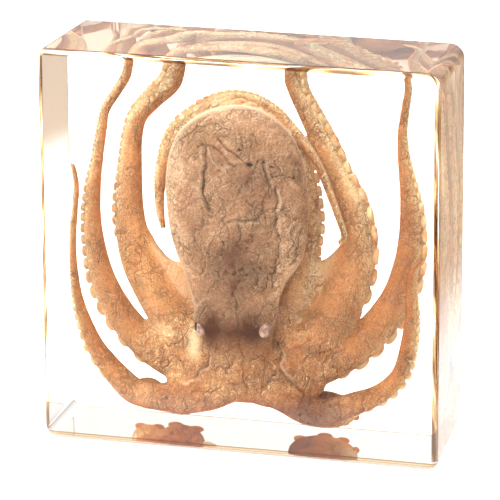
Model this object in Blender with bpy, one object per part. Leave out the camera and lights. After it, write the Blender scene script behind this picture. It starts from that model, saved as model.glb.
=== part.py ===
"""A small octopus cast in a clear resin block.

The block is a square slab with a little mould draft on its four sides, so that it leans back
slightly as it stands. It is parted in two, front and back, with a pocket in both for the
specimen. Shapes are drawn upright, in millimetres: x to the right, y from the front face to the
back with the middle at zero, z up from the lower front edge, and are then leaned as one.
"""
import math

import bmesh
import bpy
from mathutils import Matrix, Vector

MM = 0.001

# Driving dimensions of the block, in millimetres
WIDTH = 150.0
HEIGHT = 150.0
DEPTH = 50.0
DRAFT_INSET = 1.8
FRONT_EDGE_RADIUS = 2.4
BACK_EDGE_RADIUS = 0.3
CORNER_STEPS = 5
FRONT_EDGE_STEPS = 4
BACK_EDGE_STEPS = 1
PARTING_Y = 3.5

# The radii of the slab's corners seen from the front, from lower right round to lower left
CORNER_RADII = (3.2, 5.5, 2.6, 4.2)
GAP = 0.3

# Fineness of the octopus and of its pocket, in millimetres, passes and triangles
BODY_VOXEL = 0.8
BODY_SMOOTHING = 6
SKIN_VOXEL = 0.75
SKIN_SMOOTHING = 2
OCTOPUS_FACES = 5600
POCKET_CLEARANCE = 1.0
POCKET_VOXEL = 0.85
SHEATH_SMOOTHING = 4
POCKET_SMOOTHING = 1
POCKET_FACES = 2700
ARM_SIDES = 16
STEPS_PER_STATION = 4

# An arm's rounded tip: how far past its last station, and how wide, as shares of the radius
ARM_TIP = [(0.6, 0.7), (1.0, 0.2)]

# Suckers: spacing, size and rise as shares of the arm's radius, the most that each may be in
# millimetres, and the degrees from the arm's side to its back at which the two rows sit
SUCKER_SPACING = 1.05
WIDEST_SPACING = 5.2
SUCKER_RADIUS = 0.42
WIDEST_SUCKER = 2.3
SUCKER_HEIGHT = 0.32
TALLEST_SUCKER = 1.9
SUCKER_SIDES = 10
SUCKER_ROWS = (12.0, 62.0)
SMALLEST_SUCKER_ARM = 1.7

# How far out from the arm's middle a sucker is set, as a share of the arm's radius, and its
# outline: how high and how wide, as shares of its height and radius
SUCKER_SEAT = 0.93
SUCKER_OUTLINE = [(-1.0, 0.7), (0.35, 0.8), (0.7, 1.0), (1.0, 0.92)]

# Each arm from the crown to its tip: x, y, z and the arm's radius, in millimetres
OUTER_LEFT = [
    (-4, 8, 25, 7.0), (-12.6, 8, 16.2, 6.0), (-19, 6.5, 13.4, 5.5), (-24.3, 7.5, 11.9, 5.4),
    (-30.1, 8, 11.3, 5.3), (-36, 8, 11.7, 5.3), (-41.5, 7.8, 12.5, 5.4), (-46, 7, 13.9, 5.3),
    (-50.5, 7.5, 17.5, 5.0), (-55.5, 7.5, 22.9, 4.5), (-60.6, 3.5, 30.4, 3.7), (-64.2, 3.5, 40.2, 2.8),
    (-66.7, 3.5, 50.6, 2.0), (-67.8, 3.5, 62.9, 1.6), (-67.8, 3.5, 72.9, 1.4),
    (-66.8, 3.5, 83.9, 1.2), (-66.1, 3.5, 93.9, 1.1), (-67.3, 3.5, 101.9, 1.1),
]
MIDDLE_LEFT = [
    (-8, 11, 27, 8.0), (-18, 12, 25, 8.0), (-30, 13.5, 25.5, 7.5), (-40.5, 14, 30.5, 6.8),
    (-48.1, 13, 37.9, 6.2), (-53.9, 11, 47, 5.7), (-57.7, 9, 57, 4.9), (-59.9, 7.5, 68.3, 4.1),
    (-61, 7, 80, 3.5), (-60.5, 7.5, 91.5, 2.9), (-59, 9, 102.8, 2.2), (-57.5, 11, 114.4, 2.2),
    (-56.4, 13, 121.4, 1.8), (-52, 15.5, 128.8, 1.8), (-48.8, 17, 134.5, 1.8),
    (-47.6, 18, 141, 1.8), (-44, 19, 143.8, 1.6), (-38, 20, 144.1, 1.3), (-31, 20.5, 144.4, 1.1),
]
INNER_LEFT = [
    (-6, 9, 30, 9.0), (-14, 10, 31, 9.0), (-24, 11.5, 36.6, 9.0), (-32.4, 12, 44.9, 8.6),
    (-39, 13, 54, 7.8), (-44, 13.5, 63.3, 7.2), (-47, 14.5, 73.5, 6.4), (-48.3, 15, 85, 5.6),
    (-47.6, 16.5, 102, 4.3), (-46.8, 17, 111.6, 3.8), (-44.6, 17.5, 119.4, 3.6),
    (-38.6, 17, 126.5, 3.9), (-32.2, 17, 133, 4.2), (-30, 17, 140, 3.9), (-27.5, 17.5, 142.5, 2.8),
    (-18, 18.5, 143.4, 2.0), (-8, 19.5, 144.1, 1.3),
]
INNER_RIGHT = [
    (-4, 9, 27, 9.0), (5, 10, 28, 9.0), (16.8, 11.5, 34, 9.2), (26, 12, 43.5, 9.0),
    (32.7, 12.5, 53, 8.2), (37, 13, 62.7, 7.5), (39.2, 14, 73.6, 6.5), (38.4, 14, 82.7, 6.2),
    (36, 14.5, 91.3, 5.9), (30.5, 16, 102, 5.0), (26.7, 16, 111.3, 4.6), (21.3, 17, 122, 4.0),
    (16.3, 17.5, 131.5, 3.6), (14.6, 17, 138, 3.8), (16.2, 17, 142.2, 3.2), (23, 17.5, 143, 2.4),
    (31, 18.5, 144, 1.4),
]
MIDDLE_RIGHT = [
    (-2, 11, 23, 8.0), (9, 12, 21.5, 7.5), (23, 13.5, 27, 7.2), (32.5, 14, 32, 6.8),
    (41.2, 14, 39.2, 6.6), (49, 14.5, 48.4, 6.4), (54.6, 15, 58, 6.1), (57.8, 15.5, 69.7, 5.5),
    (58.7, 16, 79.2, 4.8), (58.6, 16.5, 88.7, 4.2), (57.3, 17.5, 98, 3.2),
    (55.6, 18.5, 107.2, 2.4), (54.7, 19, 118.4, 1.8), (55.7, 19, 127.8, 1.6),
    (56.7, 19.5, 136, 1.4), (55.4, 19.5, 141.5, 1.3), (51, 20, 144.4, 1.1),
]
OUTER_RIGHT = [
    (-4, 8, 25, 7.0), (2.5, 8, 18.5, 6.2), (8.6, 8, 17, 5.8), (14.3, 7, 14.9, 5.7),
    (18.2, 7.5, 12.6, 5.7), (22.8, 8, 10.9, 5.5), (27.7, 8, 11.2, 5.2), (33.5, 8, 13.3, 4.8),
    (39.2, 8, 15.8, 4.5), (46.8, 8.2, 19.3, 3.9), (52.4, 8, 23.8, 3.5), (56.6, 7.5, 30, 3.1),
    (59.3, 3.5, 40.5, 2.9), (60.6, 3.5, 50.8, 2.6), (60.7, 3.5, 58.8, 2.2), (60.8, 3.5, 66, 1.8),
    (62, 3.5, 71.2, 1.3), (64.6, 3.5, 74, 1.1),
]
BACK_WIDE = [
    (8, 12, 40, 7.0), (14.5, 13, 53, 6.6), (17.8, 13.5, 63.4, 6.2), (18.6, 14, 73, 5.8),
    (19.2, 14, 82.5, 6.4), (18.4, 14.5, 92, 6.3), (16.5, 14.5, 101.3, 6.3), (12.4, 15, 110, 6.0),
    (4.2, 15.5, 118, 5.4), (-7.6, 15.5, 123.4, 4.9), (-16, 15.7, 122.8, 4.6),
    (-21.5, 16, 120.5, 4.4), (-28, 16.3, 115.5, 4.1), (-32.4, 16.8, 108.5, 3.4),
    (-35.3, 17, 100, 2.7), (-36.8, 17.5, 91, 2.1), (-36.6, 17.5, 83, 1.6), (-35.4, 18, 76, 1.1),
]
BACK_THIN = [
    (-12, 12, 44, 5.0), (-17, 14, 62, 4.5), (-20, 16, 82, 4.2), (-24, 18, 100, 3.6),
    (-26.5, 19, 112.4, 3.2), (-22.8, 19, 121.2, 3.0), (-16, 19, 125.6, 2.8), (-8, 19.5, 128, 2.6),
    (-0.4, 19.5, 127.2, 2.4), (7.2, 18, 123.9, 2.2), (13.6, 15.5, 118.6, 2.0),
    (20.2, 11, 112.8, 1.8), (25.9, 8, 104.8, 1.6), (30.3, 4.5, 94.9, 1.4), (33.7, 3.5, 86, 1.2),
    (35.6, 3.5, 79, 1.1),
]

# Arms with the side that their suckers face, 1 for right of the way from crown to tip and -1
# for left, and how many degrees further back than that the suckers are turned
ARMS = [
    (OUTER_LEFT, -1, 20), (MIDDLE_LEFT, -1, 0), (INNER_LEFT, -1, 0), (BACK_THIN, -1, 15),
    (INNER_RIGHT, 1, 0), (MIDDLE_RIGHT, 1, 0), (OUTER_RIGHT, 1, 20), (BACK_WIDE, 1, 0),
]

# The mantle from its rounded end down through neck and head: z, left x, right x, front y, back y
MANTLE = [
    (129.8, -4.5, -0.5, -5.5, -2.5), (128.6, -10.9, 5.2, -9.5, 2), (124.7, -18.6, 12, -13.5, 5.5),
    (118.6, -25.3, 17.9, -16.5, 7.5), (110, -29, 21.5, -18, 8.8), (100, -30.4, 23.1, -18.5, 9),
    (90, -30.1, 23.4, -18.5, 9), (80, -28.9, 22.6, -17.5, 9), (72, -26.8, 20.6, -16, 9),
    (64.3, -24, 15.6, -14, 9), (56.5, -21.8, 12, -12, 10), (50, -20.5, 11, -11, 11),
    (42.2, -19.3, 9, -9.5, 12), (35, -17.5, 8.5, -7, 12), (28, -15, 8, -3.5, 13),
    (21, -12, 6, 0, 14), (15.5, -9, 2, 4, 13),
]
MANTLE_SIDES = 32
MANTLE_STEPS = 3

# Rounded masses: centre x, y, z and half sizes
EYES = [((-18.8, -4.5, 44.6), (2.3, 2.6, 2.8)), ((6.6, -8.2, 44.3), (2.4, 2.4, 2.8))]
BROWS = [((-14, -4, 48), (6, 5, 5)), ((4, -6, 48), (5, 4, 5))]
CROWN = [((-5, 10, 25), (28, 8, 13)), ((-21, 11, 20), (13, 7, 9)), ((11, 11, 21), (15, 7, 10))]
LOBES = [((-42, 16, 12), (6.8, 6, 6.3)), ((-29.3, 16, 11.8), (9.3, 6.5, 7.0)),
         ((25.5, 16, 11.8), (13.5, 6.5, 7.3))]
LEFT_WEB = ((-29, 12, 50), (12, 5, 20))
RIGHT_WEB = ((21, 12, 53), (13, 5, 18))
BALL_SEGMENTS = 24
BALL_RINGS = 14

RESIN_COLOUR = (0.93, 0.92, 0.89, 1.0)
FLESH_COLOUR = (0.46, 0.24, 0.11, 1.0)


def clear_scene():
    """Remove everything that the start-up file holds."""
    for item in list(bpy.data.objects):
        bpy.data.objects.remove(item, do_unlink=True)


def make_material(name, colour, roughness, transmission=0.0):
    """A Principled finish with one colour."""
    material = bpy.data.materials.new(name)
    material.use_nodes = True
    shader = material.node_tree.nodes["Principled BSDF"]
    shader.inputs["Base Color"].default_value = colour
    shader.inputs["Roughness"].default_value = roughness
    shader.inputs["Metallic"].default_value = 0.0
    shader.inputs["Transmission Weight"].default_value = transmission
    return material


def new_object(name, bm, material=None):
    """A scene object from a mesh drawn in millimetres."""
    bmesh.ops.recalc_face_normals(bm, faces=bm.faces)
    bmesh.ops.scale(bm, vec=(MM, MM, MM), verts=bm.verts)
    mesh = bpy.data.meshes.new(name)
    bm.to_mesh(mesh)
    bm.free()
    thing = bpy.data.objects.new(name, mesh)
    bpy.context.collection.objects.link(thing)
    if material:
        mesh.materials.append(material)
    return thing


def add_loft(bm, rings):
    """A closed skin over rings of equal length, with a flat cap at each end."""
    loops = [[bm.verts.new(point) for point in ring] for ring in rings]
    count = len(loops[0])
    for lower, upper in zip(loops, loops[1:]):
        for i in range(count):
            j = (i + 1) % count
            bm.faces.new((lower[i], lower[j], upper[j], upper[i]))
    bm.faces.new(loops[0][::-1])
    bm.faces.new(loops[-1])


def side_inset(y):
    """How far the draft has brought each side in at this depth."""
    return DRAFT_INSET * (y + DEPTH / 2) / DEPTH


def block_ring(y, inset):
    """The block's rounded outline at one depth, brought in by inset on every side."""
    inward = side_inset(y) + inset
    half_width = WIDTH / 2 - inward
    low = inward
    high = HEIGHT - inward
    corners = [(1, low, -90), (1, high, 0), (-1, high, 90), (-1, low, 180)]
    ring = []
    for (side, level, start), full_radius in zip(corners, CORNER_RADII):
        radius = full_radius - inset
        x = side * (half_width - radius)
        z = level + radius if level == low else level - radius
        for step in range(CORNER_STEPS + 1):
            angle = math.radians(start + 90 * step / CORNER_STEPS)
            ring.append((x + radius * math.cos(angle), y, z + radius * math.sin(angle)))
    return ring


def block_half(front):
    """One half of the block, from its rounded face to the parting gap."""
    side = -1 if front else 1
    radius = FRONT_EDGE_RADIUS if front else BACK_EDGE_RADIUS
    steps = FRONT_EDGE_STEPS if front else BACK_EDGE_STEPS
    rings = []
    for step in range(steps + 1):
        angle = math.radians(90 * step / steps)
        y = side * (DEPTH / 2 - radius * (1 - math.cos(angle)))
        rings.append(block_ring(y, radius * (1 - math.sin(angle))))
    rings.append(block_ring(PARTING_Y + side * GAP / 2, 0))
    bm = bmesh.new()
    add_loft(bm, rings)
    return bm


def smooth_curve(stations, steps):
    """Rows of numbers on a smooth curve through the given rows."""
    rows = [Vector(s) for s in stations]
    rows = [rows[0] * 2 - rows[1]] + rows + [rows[-1] * 2 - rows[-2]]
    curve = []
    for a, b, c, d in zip(rows, rows[1:], rows[2:], rows[3:]):
        for step in range(steps):
            t = step / steps
            curve.append(0.5 * (2 * b + (c - a) * t + (2 * a - 5 * b + 4 * c - d) * t * t
                                + (3 * b - a - 3 * c + d) * t ** 3))
    curve.append(rows[-2])
    return curve


def route_frames(stations):
    """Each point of an arm with its radius, its way on, and the directions to side and back."""
    route = [(Vector(row[:3]), row[3]) for row in smooth_curve(stations, STEPS_PER_STATION)]
    frames = []
    for i, (point, radius) in enumerate(route):
        before = route[max(i - 1, 0)][0]
        after = route[min(i + 1, len(route) - 1)][0]
        forward = (after - before).normalized()
        side = Vector((0, 1, 0)).cross(forward).normalized()
        back = forward.cross(side).normalized()
        frames.append((point, radius, forward, side, back))
    return frames


def arm_ring(point, radius, side, back):
    """The ring of an arm's skin at one point."""
    angles = [2 * math.pi * i / ARM_SIDES for i in range(ARM_SIDES)]
    return [point + (side * math.cos(a) + back * math.sin(a)) * radius for a in angles]


def add_arm(bm, frames):
    """A tapering round arm with a rounded tip."""
    rings = [arm_ring(point, radius, side, back) for point, radius, forward, side, back in frames]
    point, radius, forward, side, back = frames[-1]
    for onward, width in ARM_TIP:
        rings.append(arm_ring(point + forward * radius * onward, radius * width, side, back))
    add_loft(bm, rings)


def sucker_size(arm_radius):
    """How wide from its middle, and how tall, a sucker is on an arm this thick."""
    return (min(arm_radius * SUCKER_RADIUS, WIDEST_SUCKER),
            min(arm_radius * SUCKER_HEIGHT, TALLEST_SUCKER))


def sucker_direction(frame, face, degrees):
    """The way that a row of suckers points at one place on an arm."""
    point, radius, forward, side, back = frame
    angle = math.radians(degrees)
    return (side * face * math.cos(angle) + back * math.sin(angle)).normalized()


def sheath_frames(frames, face, turn):
    """The arm's route, widened and moved over so that it takes in the suckers too."""
    widened = []
    for frame in frames:
        point, radius, forward, side, back = frame
        width, height = sucker_size(radius)
        reach = math.hypot(radius * SUCKER_SEAT + height, width)
        outward = sucker_direction(frame, face, sum(SUCKER_ROWS) / 2 + turn)
        centre = point + outward * (reach - radius) / 2
        widened.append((centre, (reach + radius) / 2, forward, side, back))
    return widened


def add_sucker(bm, base, outward, along, radius, height):
    """A short cup on a stalk, sunk a little into the arm."""
    across = outward.cross(along).normalized()
    rings = []
    for rise, width in SUCKER_OUTLINE:
        ring = []
        for i in range(SUCKER_SIDES):
            angle = 2 * math.pi * i / SUCKER_SIDES
            offset = along * math.cos(angle) + across * math.sin(angle)
            ring.append(base + outward * height * rise + offset * radius * width)
        rings.append(ring)
    add_loft(bm, rings)


def add_suckers(bm, frames, face, turn):
    """Two rows of suckers, set alternately, smaller and closer towards the tip."""
    for row, degrees in enumerate(SUCKER_ROWS):
        travelled = 0.0
        due = WIDEST_SPACING * (1 + row) / 2
        for before, here in zip(frames, frames[1:]):
            travelled += (here[0] - before[0]).length
            point, radius, forward, side, back = here
            if radius < SMALLEST_SUCKER_ARM or travelled < due:
                continue
            due = travelled + min(radius * SUCKER_SPACING, WIDEST_SPACING)
            outward = sucker_direction(here, face, degrees + turn)
            width, height = sucker_size(radius)
            add_sucker(bm, point + outward * radius * SUCKER_SEAT, outward, forward, width, height)


def add_ball(bm, centre, halves):
    """A rounded mass from a scaled ball."""
    place = Matrix.Translation(centre) @ Matrix.Diagonal((*halves, 1.0))
    bmesh.ops.create_uvsphere(bm, u_segments=BALL_SEGMENTS, v_segments=BALL_RINGS, radius=1.0,
                              matrix=place)


def add_mantle(bm):
    """The bag-shaped body and the neck and head below it, as one loft."""
    rings = []
    for z, left, right, front, back in smooth_curve(MANTLE, MANTLE_STEPS):
        ring = []
        for i in range(MANTLE_SIDES):
            angle = 2 * math.pi * i / MANTLE_SIDES
            x = (left + right) / 2 + (right - left) / 2 * math.cos(angle)
            y = (front + back) / 2 + (back - front) / 2 * math.sin(angle)
            ring.append((x, y, z))
        rings.append(ring)
    add_loft(bm, rings)


def body_masses(sheath=False):
    """Mantle, head, crown, webs and arms, each closed, before they grow together."""
    bm = bmesh.new()
    add_mantle(bm)
    for centre, halves in EYES + BROWS + CROWN + LOBES + [LEFT_WEB, RIGHT_WEB]:
        add_ball(bm, centre, halves)
    for stations, face, turn in ARMS:
        frames = route_frames(stations)
        add_arm(bm, sheath_frames(frames, face, turn) if sheath else frames)
    return bm


def sucker_masses():
    """All the suckers, each closed."""
    bm = bmesh.new()
    for stations, face, turn in ARMS:
        add_suckers(bm, route_frames(stations), face, turn)
    return bm


def fuse(thing, voxel, smoothing):
    """Fuse what overlaps into one skin and soften its joins."""
    remesh = thing.modifiers.new("fuse", "REMESH")
    remesh.mode = "VOXEL"
    remesh.voxel_size = voxel * MM
    soften = thing.modifiers.new("soften", "SMOOTH")
    soften.iterations = smoothing


def apply_modifiers(thing):
    """Turn what the modifiers show into the object's own mesh."""
    bpy.context.view_layer.update()
    shown = thing.evaluated_get(bpy.context.evaluated_depsgraph_get())
    mesh = bpy.data.meshes.new_from_object(shown)
    thing.modifiers.clear()
    thing.data = mesh


def thin_out(thing, faces):
    """Bring the skin down to about this many triangles."""
    count = sum(len(p.vertices) - 2 for p in thing.data.polygons)
    thin = thing.modifiers.new("thin", "DECIMATE")
    thin.ratio = min(1.0, faces / count)
    thin.use_collapse_triangulate = True
    apply_modifiers(thing)


def join_mesh(thing, other):
    """Put the other object's mesh into this one's and remove the other."""
    bm = bmesh.new()
    bm.from_mesh(thing.data)
    bm.from_mesh(other.data)
    bm.to_mesh(thing.data)
    bm.free()
    bpy.data.objects.remove(other, do_unlink=True)


def make_octopus(material):
    """The specimen as one solid."""
    octopus = new_object("octopus", body_masses(), material)
    fuse(octopus, BODY_VOXEL, BODY_SMOOTHING)
    apply_modifiers(octopus)
    join_mesh(octopus, new_object("suckers", sucker_masses()))
    fuse(octopus, SKIN_VOXEL, SKIN_SMOOTHING)
    apply_modifiers(octopus)
    thin_out(octopus, OCTOPUS_FACES)
    return octopus


def make_pocket():
    """A sheath with room for the octopus and its suckers, which cuts the pocket."""
    pocket = new_object("pocket_cutter", body_masses(sheath=True))
    fuse(pocket, POCKET_VOXEL, SHEATH_SMOOTHING)
    grow = pocket.modifiers.new("grow", "DISPLACE")
    grow.mid_level = 0.0
    grow.strength = POCKET_CLEARANCE * MM
    apply_modifiers(pocket)
    fuse(pocket, POCKET_VOXEL, POCKET_SMOOTHING)
    apply_modifiers(pocket)
    thin_out(pocket, POCKET_FACES)
    pocket.hide_render = True
    pocket.display_type = "WIRE"
    return pocket


def cut_pocket(half, pocket):
    """Take the octopus's room out of one half of the block."""
    cut = half.modifiers.new("pocket", "BOOLEAN")
    cut.operation = "DIFFERENCE"
    cut.solver = "MANIFOLD"
    cut.object = pocket


def lean_back(things, halves):
    """Stand the block on its drafted lower side, centred over the origin."""
    lean = math.atan(DRAFT_INSET / DEPTH)
    stand = bpy.data.objects.new("stand", None)
    bpy.context.collection.objects.link(stand)
    tilt = Matrix.Rotation(-lean, 4, "X") @ Matrix.Translation((0, DEPTH / 2 * MM, 0))
    reach = [(tilt @ v.co).y for half in halves for v in half.data.vertices]
    stand.matrix_world = Matrix.Translation((0, -(min(reach) + max(reach)) / 2, 0)) @ tilt
    for thing in things:
        thing.parent = stand


def build():
    """Make the octopus, the two halves around it, and stand them up."""
    clear_scene()
    flesh = make_material("octopus_flesh", FLESH_COLOUR, 0.5)
    resin = make_material("clear_resin", RESIN_COLOUR, 0.02, transmission=1.0)
    octopus = make_octopus(flesh)
    pocket = make_pocket()
    resin_front = new_object("resin_front", block_half(True), resin)
    resin_back = new_object("resin_back", block_half(False), resin)
    for half in (resin_front, resin_back):
        cut_pocket(half, pocket)
    lean_back((octopus, pocket, resin_front, resin_back), (resin_front, resin_back))


build()
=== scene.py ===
"""A small octopus cast in a square block of clear resin, on a pale floor in soft studio light.

Pieces are modelled upright in millimetres, x to the right, y from the block's front face to its
back with the middle at zero, z up from the lower front edge. Each is then brought to metres and
leaned back, because the mould's draft makes the block lean on its lower side.
"""

import math

import bmesh
import bpy
import numpy as np
from mathutils import Matrix, Vector


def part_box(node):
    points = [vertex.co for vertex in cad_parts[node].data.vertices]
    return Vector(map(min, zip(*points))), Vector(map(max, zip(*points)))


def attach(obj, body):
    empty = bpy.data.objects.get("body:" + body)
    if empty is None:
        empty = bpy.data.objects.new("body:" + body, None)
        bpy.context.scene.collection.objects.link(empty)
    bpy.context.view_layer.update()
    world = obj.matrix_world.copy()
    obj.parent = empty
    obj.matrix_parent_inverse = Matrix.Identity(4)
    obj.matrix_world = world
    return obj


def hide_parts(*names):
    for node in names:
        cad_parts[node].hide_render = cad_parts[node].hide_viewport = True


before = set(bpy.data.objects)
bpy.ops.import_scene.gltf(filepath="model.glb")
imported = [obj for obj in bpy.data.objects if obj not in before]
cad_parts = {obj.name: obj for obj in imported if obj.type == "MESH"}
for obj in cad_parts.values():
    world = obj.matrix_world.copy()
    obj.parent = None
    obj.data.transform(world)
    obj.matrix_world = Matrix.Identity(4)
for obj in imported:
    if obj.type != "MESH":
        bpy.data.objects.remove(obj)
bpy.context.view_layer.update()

# The block, in millimetres
WIDTH = 150.0
HEIGHT = 150.0
DEPTH = 50.0
DRAFT_INSET = 1.8
CORNER_RADII = {(-1, 1): 2.6, (1, 1): 5.5, (-1, -1): 4.2, (1, -1): 3.2}
FRONT_EDGE_RADIUS = 2.4
BACK_EDGE_RADIUS = 0.3
CORNER_SEGMENTS = 14
FRONT_EDGE_SEGMENTS = 9
BACK_EDGE_SEGMENTS = 2
MM = 0.001

# How edges and faces of the block are told apart while it is made: how much a normal points to
# front or back on a face that looks that way, and at most on a side; how far from the middle a
# corner is at least; and what counts as touching, in millimetres
LOOKS_THERE = 0.9
SIDEWAYS = 0.5
NEAR_CORNER = 60.0
TOUCHING = 0.01

# Where the photograph was taken from, round the upright block: degrees, and millimetres
VIEW_TURN = 14.934
VIEW_DOWN = 17.964
VIEW_ROLL = -0.302
VIEW_DISTANCE = 1593.6
VIEW_AIM = (-1.8, 0.0, 71.1)
LENS = 310.7

# Each arm from the crown to its tip: x, y, z and the arm's radius
OUTER_LEFT = [
    (-4, 8, 25, 7.0), (-12.6, 8, 16.2, 6.0), (-19, 6.5, 13.4, 5.5), (-24.3, 7.5, 11.9, 5.4),
    (-30.1, 8, 11.3, 5.3), (-36, 8, 11.7, 5.3), (-41.5, 7.8, 12.5, 5.4), (-46, 7, 13.9, 5.3),
    (-50.5, 7.5, 17.5, 5.0), (-55.5, 7.5, 22.9, 4.5),
    (-60.6, 6.5, 30.4, 3.7), (-64.2, 5, 40.2, 2.8), (-66.7, 4, 50.6, 2.0), (-67.8, 3, 62.9, 1.6),
    (-67.8, 3, 72.9, 1.4), (-66.8, 3, 83.9, 1.2), (-66.1, 3, 93.9, 1.1), (-67.3, 3, 101.9, 0.9),
]
MIDDLE_LEFT = [
    (-8, 11, 27, 8.0), (-18, 12, 25, 8.0), (-30, 13.5, 25.5, 7.5), (-40.5, 14, 30.5, 6.8),
    (-48.1, 13, 37.9, 6.2), (-53.9, 11, 47, 5.7), (-57.7, 9, 57, 4.9), (-59.9, 7.5, 68.3, 4.1),
    (-61, 7, 80, 3.5), (-60.5, 7.5, 91.5, 2.9), (-59, 9, 102.8, 2.2), (-57.5, 11, 114.4, 2.0),
    (-56.4, 13, 121.4, 1.8), (-52, 15.5, 128.8, 1.8), (-48.8, 17, 134.5, 1.8),
    (-47.6, 18, 141, 1.8), (-44, 19, 145.5, 1.6), (-38, 20, 146, 1.3), (-31, 20.5, 146, 1.0),
]
INNER_LEFT = [
    (-6, 9, 30, 9.0), (-14, 10, 31, 9.0), (-24, 11.5, 36.6, 9.0), (-32.4, 12, 44.9, 8.6),
    (-39, 13, 54, 7.8), (-44, 13.5, 63.3, 7.2), (-47, 14.5, 73.5, 6.4), (-48.3, 15, 85, 5.6),
    (-47.6, 16.5, 102, 4.3), (-46.8, 17, 111.6, 3.8), (-44.6, 17.5, 119.4, 3.6),
    (-38.6, 17, 126.5, 3.9), (-32.2, 17, 133, 4.2), (-30, 17, 140, 3.9), (-27.5, 17.5, 145, 2.8),
    (-18, 18.5, 146, 2.0), (-8, 19.5, 146, 1.3),
]
INNER_RIGHT = [
    (-4, 9, 27, 9.0), (5, 10, 28, 9.0), (16.8, 11.5, 34, 9.2), (26, 12, 43.5, 9.0),
    (32.7, 12.5, 53, 8.2), (37, 13, 62.7, 7.5), (39.2, 14, 73.6, 6.5), (38.4, 14, 82.7, 6.2),
    (36, 14.5, 91.3, 5.9), (30.5, 16, 102, 5.0), (26.7, 16, 111.3, 4.6), (21.3, 17, 122, 4.0),
    (16.3, 17.5, 131.5, 3.6), (14.6, 17, 138, 3.8), (16.2, 17, 144, 3.2),
    (23, 17.5, 146, 2.4), (31, 18.5, 146, 1.4),
]
MIDDLE_RIGHT = [
    (-2, 11, 23, 8.0), (9, 12, 21.5, 7.5), (23, 13.5, 27, 7.2), (32.5, 14, 32, 6.8),
    (41.2, 14, 39.2, 6.6), (49, 14.5, 48.4, 6.4), (54.6, 15, 58, 6.1), (57.8, 15.5, 69.7, 5.5),
    (58.7, 16, 79.2, 4.8), (58.6, 16.5, 88.7, 4.2), (57.3, 17.5, 98, 3.2),
    (55.6, 18.5, 107.2, 2.4), (54.7, 19, 118.4, 1.8), (55.7, 19, 127.8, 1.6),
    (56.7, 19.5, 136, 1.4), (55.4, 19.5, 141.5, 1.3), (51, 20, 145.5, 1.0),
]
OUTER_RIGHT = [
    (-4, 8, 25, 7.0), (2.5, 8, 18.5, 6.2), (8.6, 8, 17, 5.8), (14.3, 7, 14.9, 5.7),
    (18.2, 7.5, 12.6, 5.7), (22.8, 8, 10.9, 5.5), (27.7, 8, 11.2, 5.2), (33.5, 8, 13.3, 4.8),
    (39.2, 8, 15.8, 4.5), (46.8, 8.2, 19.3, 3.9), (52.4, 8, 23.8, 3.5), (56.6, 7.5, 30, 3.1),
    (59.3, 6, 40.5, 2.9), (60.6, 5, 50.8, 2.6), (60.7, 4.5, 58.8, 2.2), (60.8, 4.5, 66, 1.8),
    (62, 4.5, 71.2, 1.3), (64.6, 5, 74, 1.0),
]
BACK_WIDE = [
    (8, 12, 40, 7.0), (14.5, 13, 53, 6.6), (17.8, 13.5, 63.4, 6.2), (18.6, 14, 73, 5.8),
    (19.2, 14, 82.5, 6.4), (18.4, 14.5, 92, 6.3), (16.5, 14.5, 101.3, 6.3),
    (12.4, 15, 110, 6.0), (4.2, 15.5, 118, 5.4), (-7.6, 15.5, 123.4, 4.9),
    (-16, 15.7, 122.8, 4.6), (-21.5, 16, 120.5, 4.4), (-28, 16.3, 115.5, 4.1),
    (-32.4, 16.8, 108.5, 3.4), (-35.3, 17, 100, 2.7), (-36.8, 17.5, 91, 2.1),
    (-36.6, 17.5, 83, 1.6), (-35.4, 18, 76, 1.0),
]
BACK_THIN = [
    (-12, 12, 44, 5.0), (-17, 14, 62, 4.5), (-20, 16, 82, 4.2), (-24, 18, 100, 3.6),
    (-26.5, 19, 112.4, 3.2), (-22.8, 19, 121.2, 3.0), (-16, 19, 125.6, 2.8), (-8, 19.5, 128, 2.6),
    (-0.4, 19.5, 127.2, 2.4), (7.2, 18, 123.9, 2.2), (13.6, 15.5, 118.6, 2.0),
    (20.2, 11, 112.8, 1.8), (25.9, 8, 104.8, 1.6), (30.3, 6, 94.9, 1.4), (33.7, 5, 86, 1.2),
    (35.2, 5, 81, 1.1), (33.2, 4.5, 78.4, 0.9),
]

# Each arm with the side that its suckers face, 1 for right of the way from crown to tip and -1
# for left; how many degrees further back they are turned near the crown and further out, and
# where along the arm that changes, in millimetres; and the distance between them as a share of
# the arm's radius, with its most
ARMS = [
    (OUTER_LEFT, -1, (45, 12), (45, 90), 1.25, 7.5),
    (MIDDLE_LEFT, -1, (45, 25, 0), (24, 34, 75), 1.1, 7.6),
    (INNER_LEFT, -1, (55, 0, 0, -45), (45, 75, 105, 125), 0.72, 4.5),
    (BACK_THIN, -1, (15, 5), (60, 90), 0.98, 5.0),
    (INNER_RIGHT, 1, (40, 0, 0, -25), (45, 70, 100, 130), 1.08, 7.2),
    (MIDDLE_RIGHT, 1, (45, 25, 0), (30, 40, 85), 1.1, 7.6),
    (OUTER_RIGHT, 1, (45, 5), (50, 85), 1.25, 7.8),
    (BACK_WIDE, 1, (0, -50, -50, 0), (65, 85, 122, 132), 0.7, 7.0),
]
STEPS_PER_STATION = 6

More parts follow.
